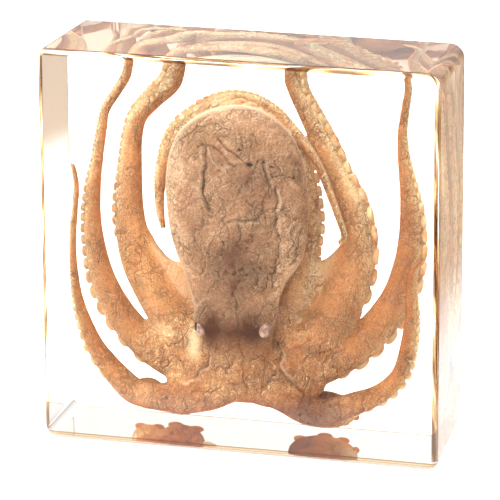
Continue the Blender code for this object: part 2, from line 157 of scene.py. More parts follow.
# The mantle from its rounded end down through neck and head: z, left x, right x, front y, back y
MANTLE = [
    (129.8, -4.5, -0.5, -5.5, -2.5), (128.6, -10.9, 5.2, -9.5, 2), (124.7, -18.6, 12, -13.5, 5.5),
    (118.6, -25.3, 17.9, -16.5, 7.5), (110, -29, 21.5, -18, 8.8), (100, -30.4, 23.1, -18.5, 9),
    (90, -30.1, 23.4, -18.5, 9), (80, -28.9, 22.6, -17.5, 9), (72, -26.8, 20.6, -16, 9),
    (64.3, -24, 15.6, -14, 9), (56.5, -21.8, 12, -12, 10), (50, -20.5, 11, -11, 11),
    (42.2, -19.3, 9, -9.5, 12), (35, -17.5, 8.5, -7, 12), (28, -15, 8, -3.5, 13),
    (21, -12, 6, 0, 14), (15.5, -9, 2, 4, 13),
]
MANTLE_SIDES = 48
MANTLE_STEPS = 3
MANTLE_TOP = 130.6

# Rounded masses that fill between head and arms, and the lobes behind the outer arms: centre
# x, y, z and half sizes
BROWS = [((-14.5, -3, 48), (6, 6, 6)), ((3.5, -5, 48.5), (5.5, 5, 6))]
CROWN = [((-5, 10, 25), (28, 8, 13)), ((-21, 11, 20), (13, 7, 9)), ((11, 11, 21), (15, 7, 10)),
         ((-37.5, 13, 38), (5, 4, 5.5)), ((20.5, 10.5, 21.5), (7, 5, 5.5))]
LOBES = [((-42, 16.5, 11), (6.8, 6, 6.3)), ((-29.3, 16.5, 10.6), (9.3, 6.5, 7.0)),
         ((25.5, 16.5, 10.5), (13.5, 6.5, 7.3))]

# Suckers on the lobes' far sides: x, which lobe, and the sucker's half width; which way they
# face, back and up, and how much more sideways towards a lobe's ends; their other half sizes
LOBE_SUCKERS = [(-45.5, 0, 2.4), (-38.8, 0, 2.4), (-32, 1, 3.0), (-24, 1, 3.0),
                (16.5, 2, 2.6), (25.8, 2, 3.0), (32.8, 2, 2.6), (38, 2, 1.4)]
LOBE_SUCKER_FACING = (0.55, -0.83)
LOBE_SUCKER_SPREAD = 0.7
LOBE_SUCKER_HALVES = (1.6, 1.25)

# Webs between mantle and arms: the line along the mantle, the line along the arm, thickness; and
# how far the free edge hangs through
WEBS = [
    ([(-25, 10, 66), (-20, 9, 58), (-17, 9, 48), (-12, 8, 36)],
     [(-41, 13.5, 76), (-38, 13, 64), (-32, 12, 52), (-22, 11, 40)], 4.0),
    ([(17, 10, 70), (13, 9, 60), (9, 9, 48), (4, 8, 36)],
     [(35, 13.5, 79), (33, 13, 66), (27, 12, 53), (15, 11, 38)], 4.0),
]
WEB_SAG = 5.0

# Suckers on the arms: how far their two rows are turned back, in degrees; the least distance
# between two, and how thin an arm is before they crowd; their half width and height as shares of
# that distance, and the tallest; the thinnest arm that has any; how far out they sit and how wide
# they are at most, as shares of the arm's radius; and the sides of a cup
SUCKER_ROWS = (6.0, 52.0)
CLOSEST_SPACING = 1.05
THIN_ARM = 2.6
SUCKER_RADIUS = 0.49
SUCKER_HEIGHT = 0.36
TALLEST_SUCKER = 1.9
SMALLEST_SUCKER_ARM = 0.85
SUCKER_SEAT = 0.92
WIDEST_ON_ARM = 0.55
SUCKER_SIDES = 12

# One cup's outline, from its foot over the rim into the cup, with its mouth up: height and radius
# as shares of the sucker's
SUCKER_OUTLINE = [
    (-1.1, 0.72), (0.0, 0.86), (0.35, 0.97), (0.66, 0.98), (0.88, 0.86), (0.98, 0.68),
    (0.94, 0.5), (0.68, 0.34), (0.5, 0.16),
]

# Fineness of the skin, in millimetres; the share of its faces that is kept; and how far from a
# crease its faces are halved, once and again
SKIN_VOXEL = 0.75
SKIN_SMOOTHING = 7
SKIN_SHARE = 0.55
CREASE_REACHES = (1.7, 1.0)

# Seen from the front, where the body is smoothed more, how often and in how many grades, and
# where the skin is coloured as between mantle and arms: middle x and z, half sizes
BODY = (-4, 33, 44, 38)
BODY_SMOOTHING = 40
BODY_LEVELS = 10
SKIRT = (-3, 24, 50, 30)


def hex_colour(code):
    """A linear colour with full alpha from an sRGB hex value such as 'AABBCC'."""
    parts = [int(code[i:i + 2], 16) / 255 for i in (0, 2, 4)]
    linear = [p / 12.92 if p <= 0.04045 else ((p + 0.055) / 1.055) ** 2.4 for p in parts]
    return (*linear, 1.0)


# Which of a colour mix's outputs is the colour; the other kinds have theirs first
COLOUR_RESULT = 2


def add_node(tree, kind, inputs=(), stops=(), **settings):
    """A node with its settings, what goes into its sockets, and a ramp's stops if it has any.

    What goes in is given in the sockets' order, or by their names or numbers: a plain value, a
    colour as a hex string, a socket, or a node, whose result is then taken. A MapRange has its
    value first, then where that comes from and what it is brought to.
    """
    node = tree.nodes.new("ShaderNode" + kind)
    for name, value in settings.items():
        setattr(node, name, value)
    for socket, value in inputs.items() if isinstance(inputs, dict) else enumerate(inputs):
        if isinstance(value, bpy.types.Node):
            is_colour = getattr(value, "data_type", "") == "RGBA"
            value = value.outputs[COLOUR_RESULT if is_colour else 0]
        if isinstance(value, bpy.types.NodeSocket):
            tree.links.new(value, node.inputs[socket])
        else:
            value = hex_colour(value) if isinstance(value, str) else value
            node.inputs[socket].default_value = value
    if stops:
        elements = node.color_ramp.elements
        while len(elements) < len(stops):
            elements.new(1.0)
        for element, (place, code) in zip(elements, stops):
            element.position = place
            element.color = hex_colour(code)
    return node


def new_material(name):
    """An empty material with its Principled shader."""
    material = bpy.data.materials.new(name)
    material.use_nodes = True
    return material, material.node_tree, material.node_tree.nodes["Principled BSDF"]


def activate(piece):
    """Select one piece alone."""
    bpy.ops.object.select_all(action="DESELECT")
    piece.select_set(True)
    bpy.context.view_layer.objects.active = piece


def finish_with(piece, kind, **settings):
    """Add a modifier with its settings and apply it."""
    activate(piece)
    bpy.ops.object.modifier_add(type=kind)
    modifier = piece.modifiers[-1]
    for name, value in settings.items():
        setattr(modifier, name, value)
    bpy.ops.object.modifier_apply(modifier=modifier.name)


def join_pieces(name, pieces):
    """Join the pieces into the first one."""
    bpy.ops.object.select_all(action="DESELECT")
    for piece in pieces:
        piece.select_set(True)
    bpy.context.view_layer.objects.active = pieces[0]
    bpy.ops.object.join()
    pieces[0].name = name
    pieces[0].data.name = name
    return pieces[0]


def select_in_edit(piece, edges=None, faces=None):
    """In edit mode, select the edges or faces that pass the test."""
    bm = bmesh.from_edit_mesh(piece.data)
    for group in (bm.verts, bm.edges, bm.faces):
        for part in group:
            part.select = False
    for part in bm.edges if edges else bm.faces:
        if (edges or faces)(part):
            part.select_set(True)
    bmesh.update_edit_mesh(piece.data)


def model_block():
    """The cast block: a slab drawn in towards its back face, with rounded corners and edges."""
    bpy.ops.object.select_all(action="DESELECT")
    bpy.ops.mesh.primitive_cube_add(size=1.0, location=(0, 0, HEIGHT / 2))
    block = bpy.context.object
    block.scale = (WIDTH, DEPTH, HEIGHT)
    bpy.ops.object.transform_apply(location=True, rotation=True, scale=True)
    bpy.ops.object.mode_set(mode="EDIT")
    bpy.ops.mesh.select_mode(type="FACE")
    select_in_edit(block, faces=lambda face: face.normal.y > LOOKS_THERE)
    shrink = 1 - 2 * DRAFT_INSET / WIDTH
    bpy.ops.transform.resize(value=(shrink, 1, shrink), center_override=(0, DEPTH / 2, HEIGHT / 2))
    bpy.ops.mesh.select_mode(type="EDGE")
    for (side, end), radius in CORNER_RADII.items():
        select_in_edit(block, edges=lambda edge: all(
            v.co.x * side > NEAR_CORNER and (v.co.z - HEIGHT / 2) * end > NEAR_CORNER
            for v in edge.verts) and abs(edge.verts[0].co.y - edge.verts[1].co.y) > TOUCHING)
        bpy.ops.mesh.bevel(offset=radius, segments=CORNER_SEGMENTS, affect="EDGES")
    for facing, radius, segments in ((-1, FRONT_EDGE_RADIUS, FRONT_EDGE_SEGMENTS),
                                     (1, BACK_EDGE_RADIUS, BACK_EDGE_SEGMENTS)):
        select_in_edit(block, edges=lambda edge: all(
            v.co.y * facing > DEPTH / 2 - TOUCHING for v in edge.verts)
            and any(f.normal.y * facing > LOOKS_THERE for f in edge.link_faces)
            and any(abs(f.normal.y) < SIDEWAYS for f in edge.link_faces))
        bpy.ops.mesh.bevel(offset=radius, segments=segments, affect="EDGES")
    bpy.ops.object.mode_set(mode="OBJECT")
    front = DEPTH / 2 + rows_of(block.data.vertices, "co")[:, 1]
    keep_attributes(block, front_edge=(front > TOUCHING) & (front < FRONT_EDGE_RADIUS - TOUCHING))
    block.name = block.data.name = "resin_block"
    bpy.ops.object.shade_smooth()
    finish_with(block, "WEIGHTED_NORMAL", mode="FACE_AREA", weight=100)
    return block


def smooth_curve(stations, steps):
    """Rows of numbers on a smooth curve through the given rows."""
    rows = [np.array(row, float) for row in stations]
    rows = [rows[0] * 2 - rows[1]] + rows + [rows[-1] * 2 - rows[-2]]
    curve = []
    for a, b, c, d in zip(rows, rows[1:], rows[2:], rows[3:]):
        for step in range(steps):
            t = step / steps
            curve.append(0.5 * (2 * b + (c - a) * t + (2 * a - 5 * b + 4 * c - d) * t * t
                                + (3 * b - a - 3 * c + d) * t ** 3))
    curve.append(rows[-2])
    return curve


def route_frames(stations):
    """Each point of an arm with its radius, its way on, and the directions to side and back."""
    route = [(Vector(row[:3]), row[3]) for row in smooth_curve(stations, STEPS_PER_STATION)]
    frames = []
    for i, (point, radius) in enumerate(route):
        forward = (route[min(i + 1, len(route) - 1)][0] - route[max(i - 1, 0)][0]).normalized()
        side = Vector((0, 1, 0)).cross(forward).normalized()
        frames.append((point, radius, forward, side, forward.cross(side).normalized()))
    return frames


def model_arm(stations):
    """One arm as a round-bevelled curve that tapers along its route."""
    bpy.ops.object.select_all(action="DESELECT")
    bpy.ops.curve.primitive_bezier_curve_add(location=(0, 0, 0))
    arm = bpy.context.object
    arm.data.splines.clear()
    line = arm.data.splines.new("POLY")
    route = smooth_curve(stations, STEPS_PER_STATION)
    line.points.add(len(route) - 1)
    for point, (x, y, z, radius) in zip(line.points, route):
        point.co = (x, y, z, 1.0)
        point.radius = radius
    arm.data.bevel_depth = 1.0
    arm.data.bevel_resolution = 6
    arm.data.use_fill_caps = True
    bpy.ops.object.convert(target="MESH")
    return bpy.context.object


def draw_out(sides, rings):
    """A body drawn out ring by ring; each ring has a middle and a width and depth."""
    (middle, size), *others = rings
    bpy.ops.object.select_all(action="DESELECT")
    bpy.ops.mesh.primitive_circle_add(vertices=sides, radius=0.5, fill_type="NGON",
                                      location=middle)
    body = bpy.context.object
    bpy.ops.object.transform_apply(location=True, rotation=True, scale=True)
    bpy.ops.object.mode_set(mode="EDIT")
    bpy.ops.mesh.select_all(action="SELECT")
    bpy.ops.transform.resize(value=(*size, 1), center_override=middle)
    for centre, new_size in others:
        move = [new - old for new, old in zip(centre, middle)]
        wider = [new / old for new, old in zip(new_size, size)]
        bpy.ops.mesh.extrude_region_move(TRANSFORM_OT_translate={"value": move})
        bpy.ops.transform.resize(value=(*wider, 1), center_override=centre)
        middle, size = centre, new_size
    bpy.ops.object.mode_set(mode="OBJECT")
    face_outwards(body)
    return body


def face_outwards(piece):
    """Turn all the piece's faces to look outwards."""
    activate(piece)
    bpy.ops.object.mode_set(mode="EDIT")
    bpy.ops.mesh.select_all(action="SELECT")
    bpy.ops.mesh.normals_make_consistent(inside=False)
    bpy.ops.object.mode_set(mode="OBJECT")


def model_mass(centre, halves):
    """A rounded mass of flesh."""
    bpy.ops.object.select_all(action="DESELECT")
    bpy.ops.mesh.primitive_uv_sphere_add(segments=40, ring_count=24, radius=1.0, location=centre)
    mass = bpy.context.object
    mass.scale = halves
    bpy.ops.object.transform_apply(location=True, rotation=True, scale=True)
    return mass


def model_web(near, far, thickness):
    """A sheet of skin stretched between two lines."""
    bpy.ops.object.select_all(action="DESELECT")
    bpy.ops.mesh.primitive_grid_add(x_subdivisions=16, y_subdivisions=24, size=1.0)
    web = bpy.context.object
    lines = [smooth_curve(line, 8) for line in (near, far)]
    for vertex in web.data.vertices:
        place = (vertex.co.y + 0.5) * (len(lines[0]) - 1)
        low = min(int(place), len(lines[0]) - 2)
        start, end = [line[low] + (line[low + 1] - line[low]) * (place - low) for line in lines]
        across = vertex.co.x + 0.5
        point = start + (end - start) * across
        point[2] -= WEB_SAG * math.sin(math.pi * across) * (1 - place / (len(lines[0]) - 1))
        vertex.co = point
    finish_with(web, "SOLIDIFY", thickness=thickness, offset=0.0)
    return web


# So many places at once are measured against the arms, to save memory
ROWS_AT_ONCE = 4000


def arm_arrays():
    """All the arms' frames as arrays: places, radii, ways back and out, and shares of length."""
    places, radii, backs, sides, shares = [], [], [], [], []
    for stations, face, turns, change, *rest in ARMS:
        frames = route_frames(stations)
        travelled = 0.0
        for i, (point, radius, forward, side, back) in enumerate(frames):
            travelled += (point - frames[max(i - 1, 0)][0]).length
            angle = math.radians(float(np.interp(travelled, change, turns)))
            places.append(point)
            radii.append(radius)
            backs.append(back)
            sides.append(side * face * math.cos(angle) + back * math.sin(angle))
            shares.append(i / (len(frames) - 1))
    return [np.array(a, float) for a in (places, radii, backs, sides, shares)]


def smooth_step(low, high, values):
    """0 below low, 1 above high, and a soft rise between."""
    t = np.clip((values - low) / (high - low), 0, 1)
    return t * t * (3 - 2 * t)


def keep_attributes(piece, **named):
    """Store one number for each vertex under each name that a material reads."""
    for name, values in named.items():
        layer = piece.data.attributes.new(name, "FLOAT", "POINT")
        layer.data.foreach_set("value", np.asarray(values, np.float32))


def rows_of(parts, what):
    """The places or normals of vertices or faces as rows of three."""
    values = np.zeros(len(parts) * 3, np.float32)
    parts.foreach_get(what, values)
    return values.reshape(-1, 3).astype(float)


def oval(co, x, z, wide, tall):
    """Seen from the front, 0 at x and z, 1 on an ellipse round it and more outside."""
    return ((co[:, 0] - x) / wide) ** 2 + ((co[:, 2] - z) / tall) ** 2


def mantle_measure(co):
    """How far each place is from the mantle's middle line, with 1 at its skin."""
    table = np.array(MANTLE, float)[::-1]
    left, right, front, back = [np.interp(co[:, 2], table[:, 0], column)
                                for column in table.T[1:]]
    across = (co[:, 0] - (left + right) / 2) / ((right - left) / 2)
    deep = (co[:, 1] - (front + back) / 2) / ((back - front) / 2)
    over = np.maximum(0, (co[:, 2] - MANTLE_TOP) / 2)
    return np.sqrt(across ** 2 + deep ** 2 + over ** 2)


def line_distance(co, points):
    """Distance from each place to a line of points, seen from the front."""
    best = np.full(len(co), np.inf)
    flat = co[:, (0, 2)]
    for start, end in zip(points, points[1:]):
        a, b = np.array(start, float), np.array(end, float)
        along = np.clip(((flat - a) @ (b - a)) / ((b - a) @ (b - a)), 0, 1)
        best = np.minimum(best, np.linalg.norm(flat - a - along[:, None] * (b - a), axis=1))
    return best


# Creases in the skin seen from the front: points x and z, width, depth and how dark their painted
# shade is; a depth below zero is a ridge, and a darkness below zero is a painted highlight
CREASES = [
    ([(-13.5, 116), (-13, 111.5), (-13.5, 107), (-14, 102.5), (-14, 97.5), (-12, 92.5)],
     0.8, 1.3, 1.0),
    ([(-15, 115), (-14.6, 110), (-15, 105), (-15.4, 99), (-14.5, 94)], 0.6, -0.5, -0.5),
    ([(-16.5, 115.5), (-13, 116.5), (-10.5, 116), (-7.5, 114), (-3.5, 110), (0.5, 110)],
     0.6, 0.7, 0.8),
    ([(-8, 120.5), (-8.5, 118.5), (-10.5, 116.5)], 0.5, 0.5, 0.5),
    ([(-8.5, 120.5), (-4.5, 119.5), (-1.5, 118)], 0.5, 0.5, 0.6),
    ([(-8.5, 119), (-5, 116), (-1.5, 113.5), (1, 111.5), (3.5, 110.5)], 0.5, 0.8, 1.0),
    ([(-12.3, 115), (-10.5, 112), (-8, 109), (-6, 108), (-4, 109)], 0.7, -0.7, -0.7),
    ([(-12, 117), (-11, 113.5), (-9, 110.5), (-7, 108.5)], 0.4, 0.5, 0.8),
    ([(-4.5, 88.5), (-1, 89), (2.5, 89), (6, 89.5), (7.5, 91.5), (9, 95)], 0.5, 0.9, 1.0),
    ([(-4, 87.4), (0, 87.9), (4, 88.1), (7, 88.4)], 0.5, -0.4, -0.6),
    ([(-6.5, 96), (-5.5, 91.5), (-6.5, 88.5), (-5, 85.5), (-4, 81)], 0.5, 0.5, 0.6),
    ([(-5, 108), (-3, 104), (-3.4, 100), (-2, 96), (-3.5, 92)], 0.5, 0.4, 0.5),
    ([(0, 100.5), (1, 99), (2.5, 96.5), (4.5, 95.5), (6, 96.5)], 0.4, 0.6, 0.9),
    ([(3.5, 110), (4.5, 107), (3, 103.5), (4.5, 100.5)], 0.4, 0.4, 0.6),
    ([(8.5, 112), (9, 108.5), (10, 104), (12, 101)], 0.6, 0.8, 0.9),
    ([(9.8, 111), (10.4, 107.5), (11.5, 103.5)], 0.5, -0.4, -0.5),
    ([(12, 101), (9, 99), (8.5, 94.5), (6.5, 90)], 0.6, 0.6, 0.7),
    ([(13, 102.5), (13.5, 98), (13, 89), (13.5, 84.5), (14.5, 81.5), (13.5, 76.5), (12.5, 72),
      (11, 66), (10.5, 61.5)], 0.5, 0.9, 0.9),
    ([(14.2, 101), (14.5, 96), (14.2, 90), (14.8, 85)], 0.6, -0.6, -0.6),
    ([(18.5, 88), (17.5, 84.5), (18, 81), (16.5, 77.5)], 0.5, -0.6, -0.6),
    ([(20.5, 86), (19, 82), (19.3, 78), (17.8, 74)], 0.5, -0.5, -0.5),
    ([(16.5, 80), (15, 76.5), (15.5, 73), (13.5, 69)], 0.5, -0.6, -0.5),
    ([(19.3, 87), (18.3, 83), (18.8, 79.5), (17, 76)], 0.4, 0.5, 0.6),
    ([(21.5, 84), (20.2, 80), (20, 76), (17.5, 71.5)], 0.4, 0.5, 0.6),
    ([(-1, 79.5), (1, 77.5), (4, 76.5), (7, 76)], 0.4, 0.6, 0.8),
    ([(-1, 80.5), (0.5, 85), (-1, 88)], 0.4, 0.4, 0.5),
    ([(-4.5, 78.5), (-6.5, 76.5), (-9.5, 74.5)], 0.4, 0.6, 0.7),
    ([(-24, 90), (-21.5, 91.5), (-17.5, 95), (-14.5, 96.5)], 0.5, 0.6, 0.7),
    ([(-23, 97), (-20, 96), (-18, 98.5), (-15, 98)], 0.4, 0.4, 0.6),
    ([(-24, 116.5), (-20.5, 119.5), (-17, 122), (-13.5, 123.5), (-8.5, 124.5)], 0.5, 0.7, 0.6),
    ([(-5, 127.5), (-4, 129), (-3, 131)], 0.4, 0.5, 0.4),
    ([(-3, 72), (-2.5, 66), (-3.4, 60), (-2.5, 54)], 0.5, 0.4, 0.5),
    ([(-12, 70), (-9, 67), (-10, 63), (-8, 60)], 0.4, 0.4, 0.5),
    ([(4, 71), (6, 68), (5, 64), (8, 61)], 0.4, 0.5, 0.6),
    ([(-17, 79), (-15, 74), (-16, 69), (-14, 65)], 0.5, 0.5, 0.5),
    ([(-3, 57), (-2.5, 49), (-2.5, 42), (-1.5, 34), (-2, 26), (-1, 17)], 0.5, 0.6, 0.7),
    ([(-20, 45), (-18.5, 40.5), (-16.4, 35.4), (-15.6, 30.4), (-17, 27), (-20, 24), (-22, 21)],
     0.9, 1.4, 0.8),
    ([(-19.7, 44.2), (-17.8, 40.2), (-15.6, 35.4), (-14.7, 30.4), (-16, 27), (-19, 24.4),
      (-21.5, 21), (-26, 18.5)], 0.7, -0.6, -0.9),
    ([(-20.3, 46.4), (-19.5, 49.6), (-17.5, 53.7), (-15.9, 55.3), (-12.9, 56.7)], 0.6, -0.5, -0.9),
    ([(10, 38), (12, 34), (11, 29), (15, 23.5), (20, 19)], 0.7, 0.9, 0.7),
    ([(11.2, 37), (13.2, 33), (12.3, 28.5), (16, 23.5)], 0.6, -0.5, -0.6),
    ([(5, 33), (8, 30), (9, 26), (13, 22)], 0.5, 0.5, 0.6),
    ([(22, 25), (20.5, 20), (19, 14), (18.5, 10)], 0.4, 0.6, 0.9),
    ([(23.5, 24), (22.5, 18), (22, 12)], 0.4, 0.5, 0.7),
    ([(16, 24), (15, 19), (13, 15)], 0.4, 0.4, 0.6),
    ([(-38.5, 18), (-37.8, 13.5), (-38.2, 8.5)], 0.3, 0.5, 1.0),
    ([(33.5, 17), (34.5, 14), (34, 10)], 0.3, 0.5, 1.0),
    ([(-7, 30), (-9, 25), (-13, 20), (-18, 16)], 0.4, 0.4, 0.5),
    ([(3, 28), (2, 22), (4, 16)], 0.4, 0.4, 0.5),
]
# How much of that depth is pressed in, and how wide the hollow, the line of painted shade and
# the line of painted highlight are, as shares of that width; the highlight's share of the darkness
PRESSED = 0.75
HOLLOW_WIDTH = 1.2
DARK_WIDTH = 0.62
PALE_WIDTH = 0.8
PALE_SHARE = 0.8

# The mantle's slit, with painted shade, and the painted patch of light by the left eye: x, z and
# half sizes
SLIT = (3.5, 110.2, 1.1, 0.6)
SLIT_DEPTH = 1.6
SLIT_DARKNESS = 1.8
LIT_SPOT = (-21.7, 35, 2.0, 5.0)

# Where the skin is paler, above zero, or darker seen from the front: x, z, half sizes, amount
# Partly the skin's own tone, partly painted light: the mantle's left edge and the shaded webs made
# paler
TONES_AND_PAINTED_LIGHT = [
    (-4, 127, 17, 5, 0.5), (-25, 113, 4, 10, 0.8), (-28.5, 95, 3, 20, 0.9), (-20, 105, 5, 9, 0.15),
    (-25, 76, 3, 12, 0.5), (12, 119, 6, 5, 0.4), (5, 104, 5, 8, -0.5), (-8, 101, 4, 8, 0.1),
    (-1, 71, 7, 9, -0.9), (3, 83, 6, 4, -0.25), (-12, 71, 6, 8, -0.4), (-12, 84, 9, 6, 0.15),
    (16, 80, 4, 10, 0.45), (17, 100, 4, 14, 0.1), (-6, 60, 9, 5, -0.3), (9, 64, 4, 8, -0.45),
    (-14, 53, 5, 4, 0.15), (2, 53, 6, 4, 0.1), (13.5, 53, 2.5, 9, 0.8), (-21, 37, 3, 8, 0.5),
    (-38, 62, 15, 28, 1.7), (-8, 30, 5, 8, 0.1), (24, 16, 9, 8, -0.35), (-12, 19, 5, 5, 0.5),
    (8, 26, 6, 6, -0.1), (62, 60, 9, 50, -0.9), (28, 66, 8, 16, 1.4), (26, 9, 14, 6, -1.0),
    (17, 58, 6, 9, 2.2),
]

# The dark pigment round and between the eyes, in the same way
SMUDGES = [(-12.5, 44.5, 6.5, 8.5, 1.3), (1.8, 45.0, 6.5, 7.5, 1.3), (-5, 43.5, 10, 7.5, 0.95),
           (-13.5, 51, 4.5, 6.0, 0.7), (-4, 54, 3.5, 8, 0.4)]


def wander(co):
    """The places moved a little to and fro, so that drawn lines are never quite straight."""
    moved = co.copy()
    x, z = co[:, 0], co[:, 2]
    moved[:, 0] += 0.3 * np.sin(0.9 * z + 0.4 * x) + 0.1 * np.sin(2.9 * z + 1.0)
    moved[:, 2] += 0.3 * np.sin(1.1 * x + 0.5 * z) + 0.1 * np.sin(3.1 * x + 2.0)
    return moved


def crease_signals(co):
    """How deep the creases press each place, and how much painted shade and highlight they give
    it.
    """
    press = np.zeros(len(co))
    dark = np.zeros(len(co))
    pale = np.zeros(len(co))
    moved = wander(co)
    fading = 0.8 + 0.2 * np.sin(0.9 * co[:, 0] - 0.7 * co[:, 2]) * np.sin(0.35 * co[:, 2] + 1.0)
    for points, width, depth, darkness in CREASES:
        away = line_distance(moved, smooth_curve(points, 4))
        press += PRESSED * depth * np.exp(-(away / (width * HOLLOW_WIDTH)) ** 2)
        dark = np.maximum(dark, darkness * np.exp(-(away / (width * DARK_WIDTH)) ** 2))
        paleness = -PALE_SHARE * darkness
        pale = np.maximum(pale, paleness * np.exp(-(away / (width * PALE_WIDTH)) ** 2))
    slit = np.exp(-oval(co, *SLIT))
    dark = np.maximum(dark * fading, SLIT_DARKNESS * slit)
    return press * fading + SLIT_DEPTH * slit, dark, pale * fading


def refine_creases(skin):
    """Smaller faces along the creases, so that they stay sharp."""
    for reach in CREASE_REACHES:
        centres = rows_of(skin.data.polygons, "center")
        normals = rows_of(skin.data.polygons, "normal")
        away = np.full(len(centres), np.inf)
        for points, *rest in CREASES:
            away = np.minimum(away, line_distance(centres, smooth_curve(points, 4)))
        # On the front alone, where they show
        chosen = (away < reach) & (normals[:, 1] < -0.15) & (centres[:, 1] < 16)
        activate(skin)
        bpy.ops.object.mode_set(mode="EDIT")
        bpy.ops.mesh.select_mode(type="FACE")
        bpy.ops.mesh.select_all(action="DESELECT")
        bpy.ops.object.mode_set(mode="OBJECT")
        skin.data.polygons.foreach_set("select", chosen)
        bpy.ops.object.mode_set(mode="EDIT")
        bpy.ops.mesh.subdivide(number_cuts=1, smoothness=0.0)
        bpy.ops.object.mode_set(mode="OBJECT")


def melt_body(skin):
    """Smooth the front of head, webs and arm roots into one surface, and leave outlines alone."""
    co = rows_of(skin.data.vertices, "co")
    normals = rows_of(skin.data.vertices, "normal")
    weights = smooth_step(1.0, 0.6, oval(co, *BODY)) * smooth_step(-0.3, -0.75, normals[:, 1])
    weights *= 1 - smooth_step(1.3, 1.0, mantle_measure(co)) * smooth_step(36, 44, co[:, 2])
    group = skin.vertex_groups.new(name="body")
    for level in range(1, BODY_LEVELS + 1):
        chosen = np.nonzero(np.round(weights * BODY_LEVELS) == level)[0]
        group.add(chosen.tolist(), level / BODY_LEVELS, "REPLACE")
    finish_with(skin, "SMOOTH", factor=0.9, iterations=BODY_SMOOTHING, vertex_group="body")
    skin.vertex_groups.clear()


def build_skin():
    """Mantle, head, crown, webs and arms grown together, with their creases pressed in."""
    masses = [draw_out(MANTLE_SIDES, [
        (((left + right) / 2, (front + back) / 2, z), (right - left, back - front))
        for z, left, right, front, back in smooth_curve(MANTLE, MANTLE_STEPS)])]
    masses += [model_mass(centre, halves) for centre, halves in BROWS + CROWN + LOBES]
    masses += [model_web(*web) for web in WEBS]
    masses += [model_arm(stations) for stations, *rest in ARMS]
    skin = join_pieces("octopus_skin", masses)
    finish_with(skin, "REMESH", mode="VOXEL", voxel_size=SKIN_VOXEL)
    finish_with(skin, "SMOOTH", factor=0.5, iterations=SKIN_SMOOTHING)
    melt_body(skin)
    finish_with(skin, "DECIMATE", ratio=SKIN_SHARE)
    refine_creases(skin)
    co = rows_of(skin.data.vertices, "co")
    normals = rows_of(skin.data.vertices, "normal")
    facing = smooth_step(0.05, 0.4, -normals[:, 1])
    measure = mantle_measure(co)
    on_mantle = smooth_step(1.22, 1.1, measure) * smooth_step(38, 48, co[:, 2])
    # Creases pressed in, with their painted shade and the painted highlights on ridges kept for
    # the material
    press, dark, pale = crease_signals(co)
    co -= normals * (press * facing)[:, None]
    skin.data.vertices.foreach_set("co", co.astype(np.float32).ravel())
    skin.data.update()
    # Painted rim light: the mantle's outline, where its skin turns away from the front, is painted
    # pale
    painted_rim_light = smooth_step(0.42, 0.0, 0.25 * normals[:, 0] - normals[:, 1])
    painted_rim_light *= smooth_step(0.8, 0.35, normals[:, 1])
    keep_attributes(skin, crease=dark * facing, ridge=pale * facing, rim=painted_rim_light * on_mantle)
    keep_skin_attributes(skin, co, on_mantle)
    return skin


def keep_skin_attributes(skin, co, on_mantle):
    """What the skin's material needs to know of each place."""
    places, radii, backs, sides, shares = arm_arrays()
    back_facing = np.zeros(len(co))
    outward = np.zeros(len(co))
    share = np.zeros(len(co))
    gap = np.zeros(len(co))
    for start in range(0, len(co), ROWS_AT_ONCE):
        part = slice(start, start + ROWS_AT_ONCE)
        away = co[part, None, :] - places[None, :, :]
        reach = np.linalg.norm(away, axis=2) - radii[None, :]
        nearest = reach.argmin(axis=1)
        rows = np.arange(len(nearest))
        offset = away[rows, nearest]
        offset /= np.maximum(np.linalg.norm(offset, axis=1), 1e-6)[:, None]
        back_facing[part] = (offset * backs[nearest]).sum(axis=1)
        outward[part] = (offset * sides[nearest]).sum(axis=1)
        share[part] = shares[nearest]
        gap[part] = reach[rows, nearest]
    smudge = np.zeros(len(co))
    for *place, amount in SMUDGES:
        smudge = np.maximum(smudge, amount * np.exp(-oval(co, *place)))
    tone = np.zeros(len(co))
    for *place, amount in TONES_AND_PAINTED_LIGHT:
        tone += amount * np.exp(-oval(co, *place))
    off_mantle = 1 - on_mantle
    keep_attributes(
        skin, mantle=on_mantle, arm_back=back_facing, arm_out=outward, arm_share=share, tone=tone,
        skirt=smooth_step(1.0, 0.5, oval(co, *SKIRT)) * off_mantle,
        web=smooth_step(0.6, 2.5, gap) * off_mantle * smooth_step(34, 50, co[:, 2]),
        smudge=smudge * smooth_step(10, 4, co[:, 1]),
        lit=np.exp(-oval(co, *LIT_SPOT)) * smooth_step(9, 4, co[:, 1]))


def sucker_places():
    """A matrix for every sucker: two alternating rows on each arm, smaller towards the tip."""
    matrices = []
    for stations, face, turns, change, share, most in ARMS:
        frames = route_frames(stations)
        for row, degrees in enumerate(SUCKER_ROWS):
            travelled = 0.0
            due = most * (1 + row) / 2
            for before, here in zip(frames, frames[1:]):
                leap = (here[0] - before[0]).length
                while travelled + leap >= due:
                    t = (due - travelled) / leap
                    point = before[0].lerp(here[0], t)
                    radius = before[1] + (here[1] - before[1]) * t
                    spacing = radius * share * min(1, radius / THIN_ARM)
                    spacing = min(max(spacing, CLOSEST_SPACING), most)
                    turn = float(np.interp(due, change, turns))
                    angle = math.radians(degrees + turn)
                    outward = here[3] * face * math.cos(angle) + here[4] * math.sin(angle)
                    if radius >= SMALLEST_SUCKER_ARM and not in_lobe(point + outward * radius):
                        matrices.append(sucker_matrix(point, radius, here[2], outward, spacing))
                    due += spacing
                travelled += leap
    return matrices


def in_lobe(place):
    """Whether a place is inside one of the lobes, or just outside it."""
    return any(sum(((p - m) / h) ** 2 for p, m, h in zip(place, middle, halves)) < 1.5
               for middle, halves in LOBES)


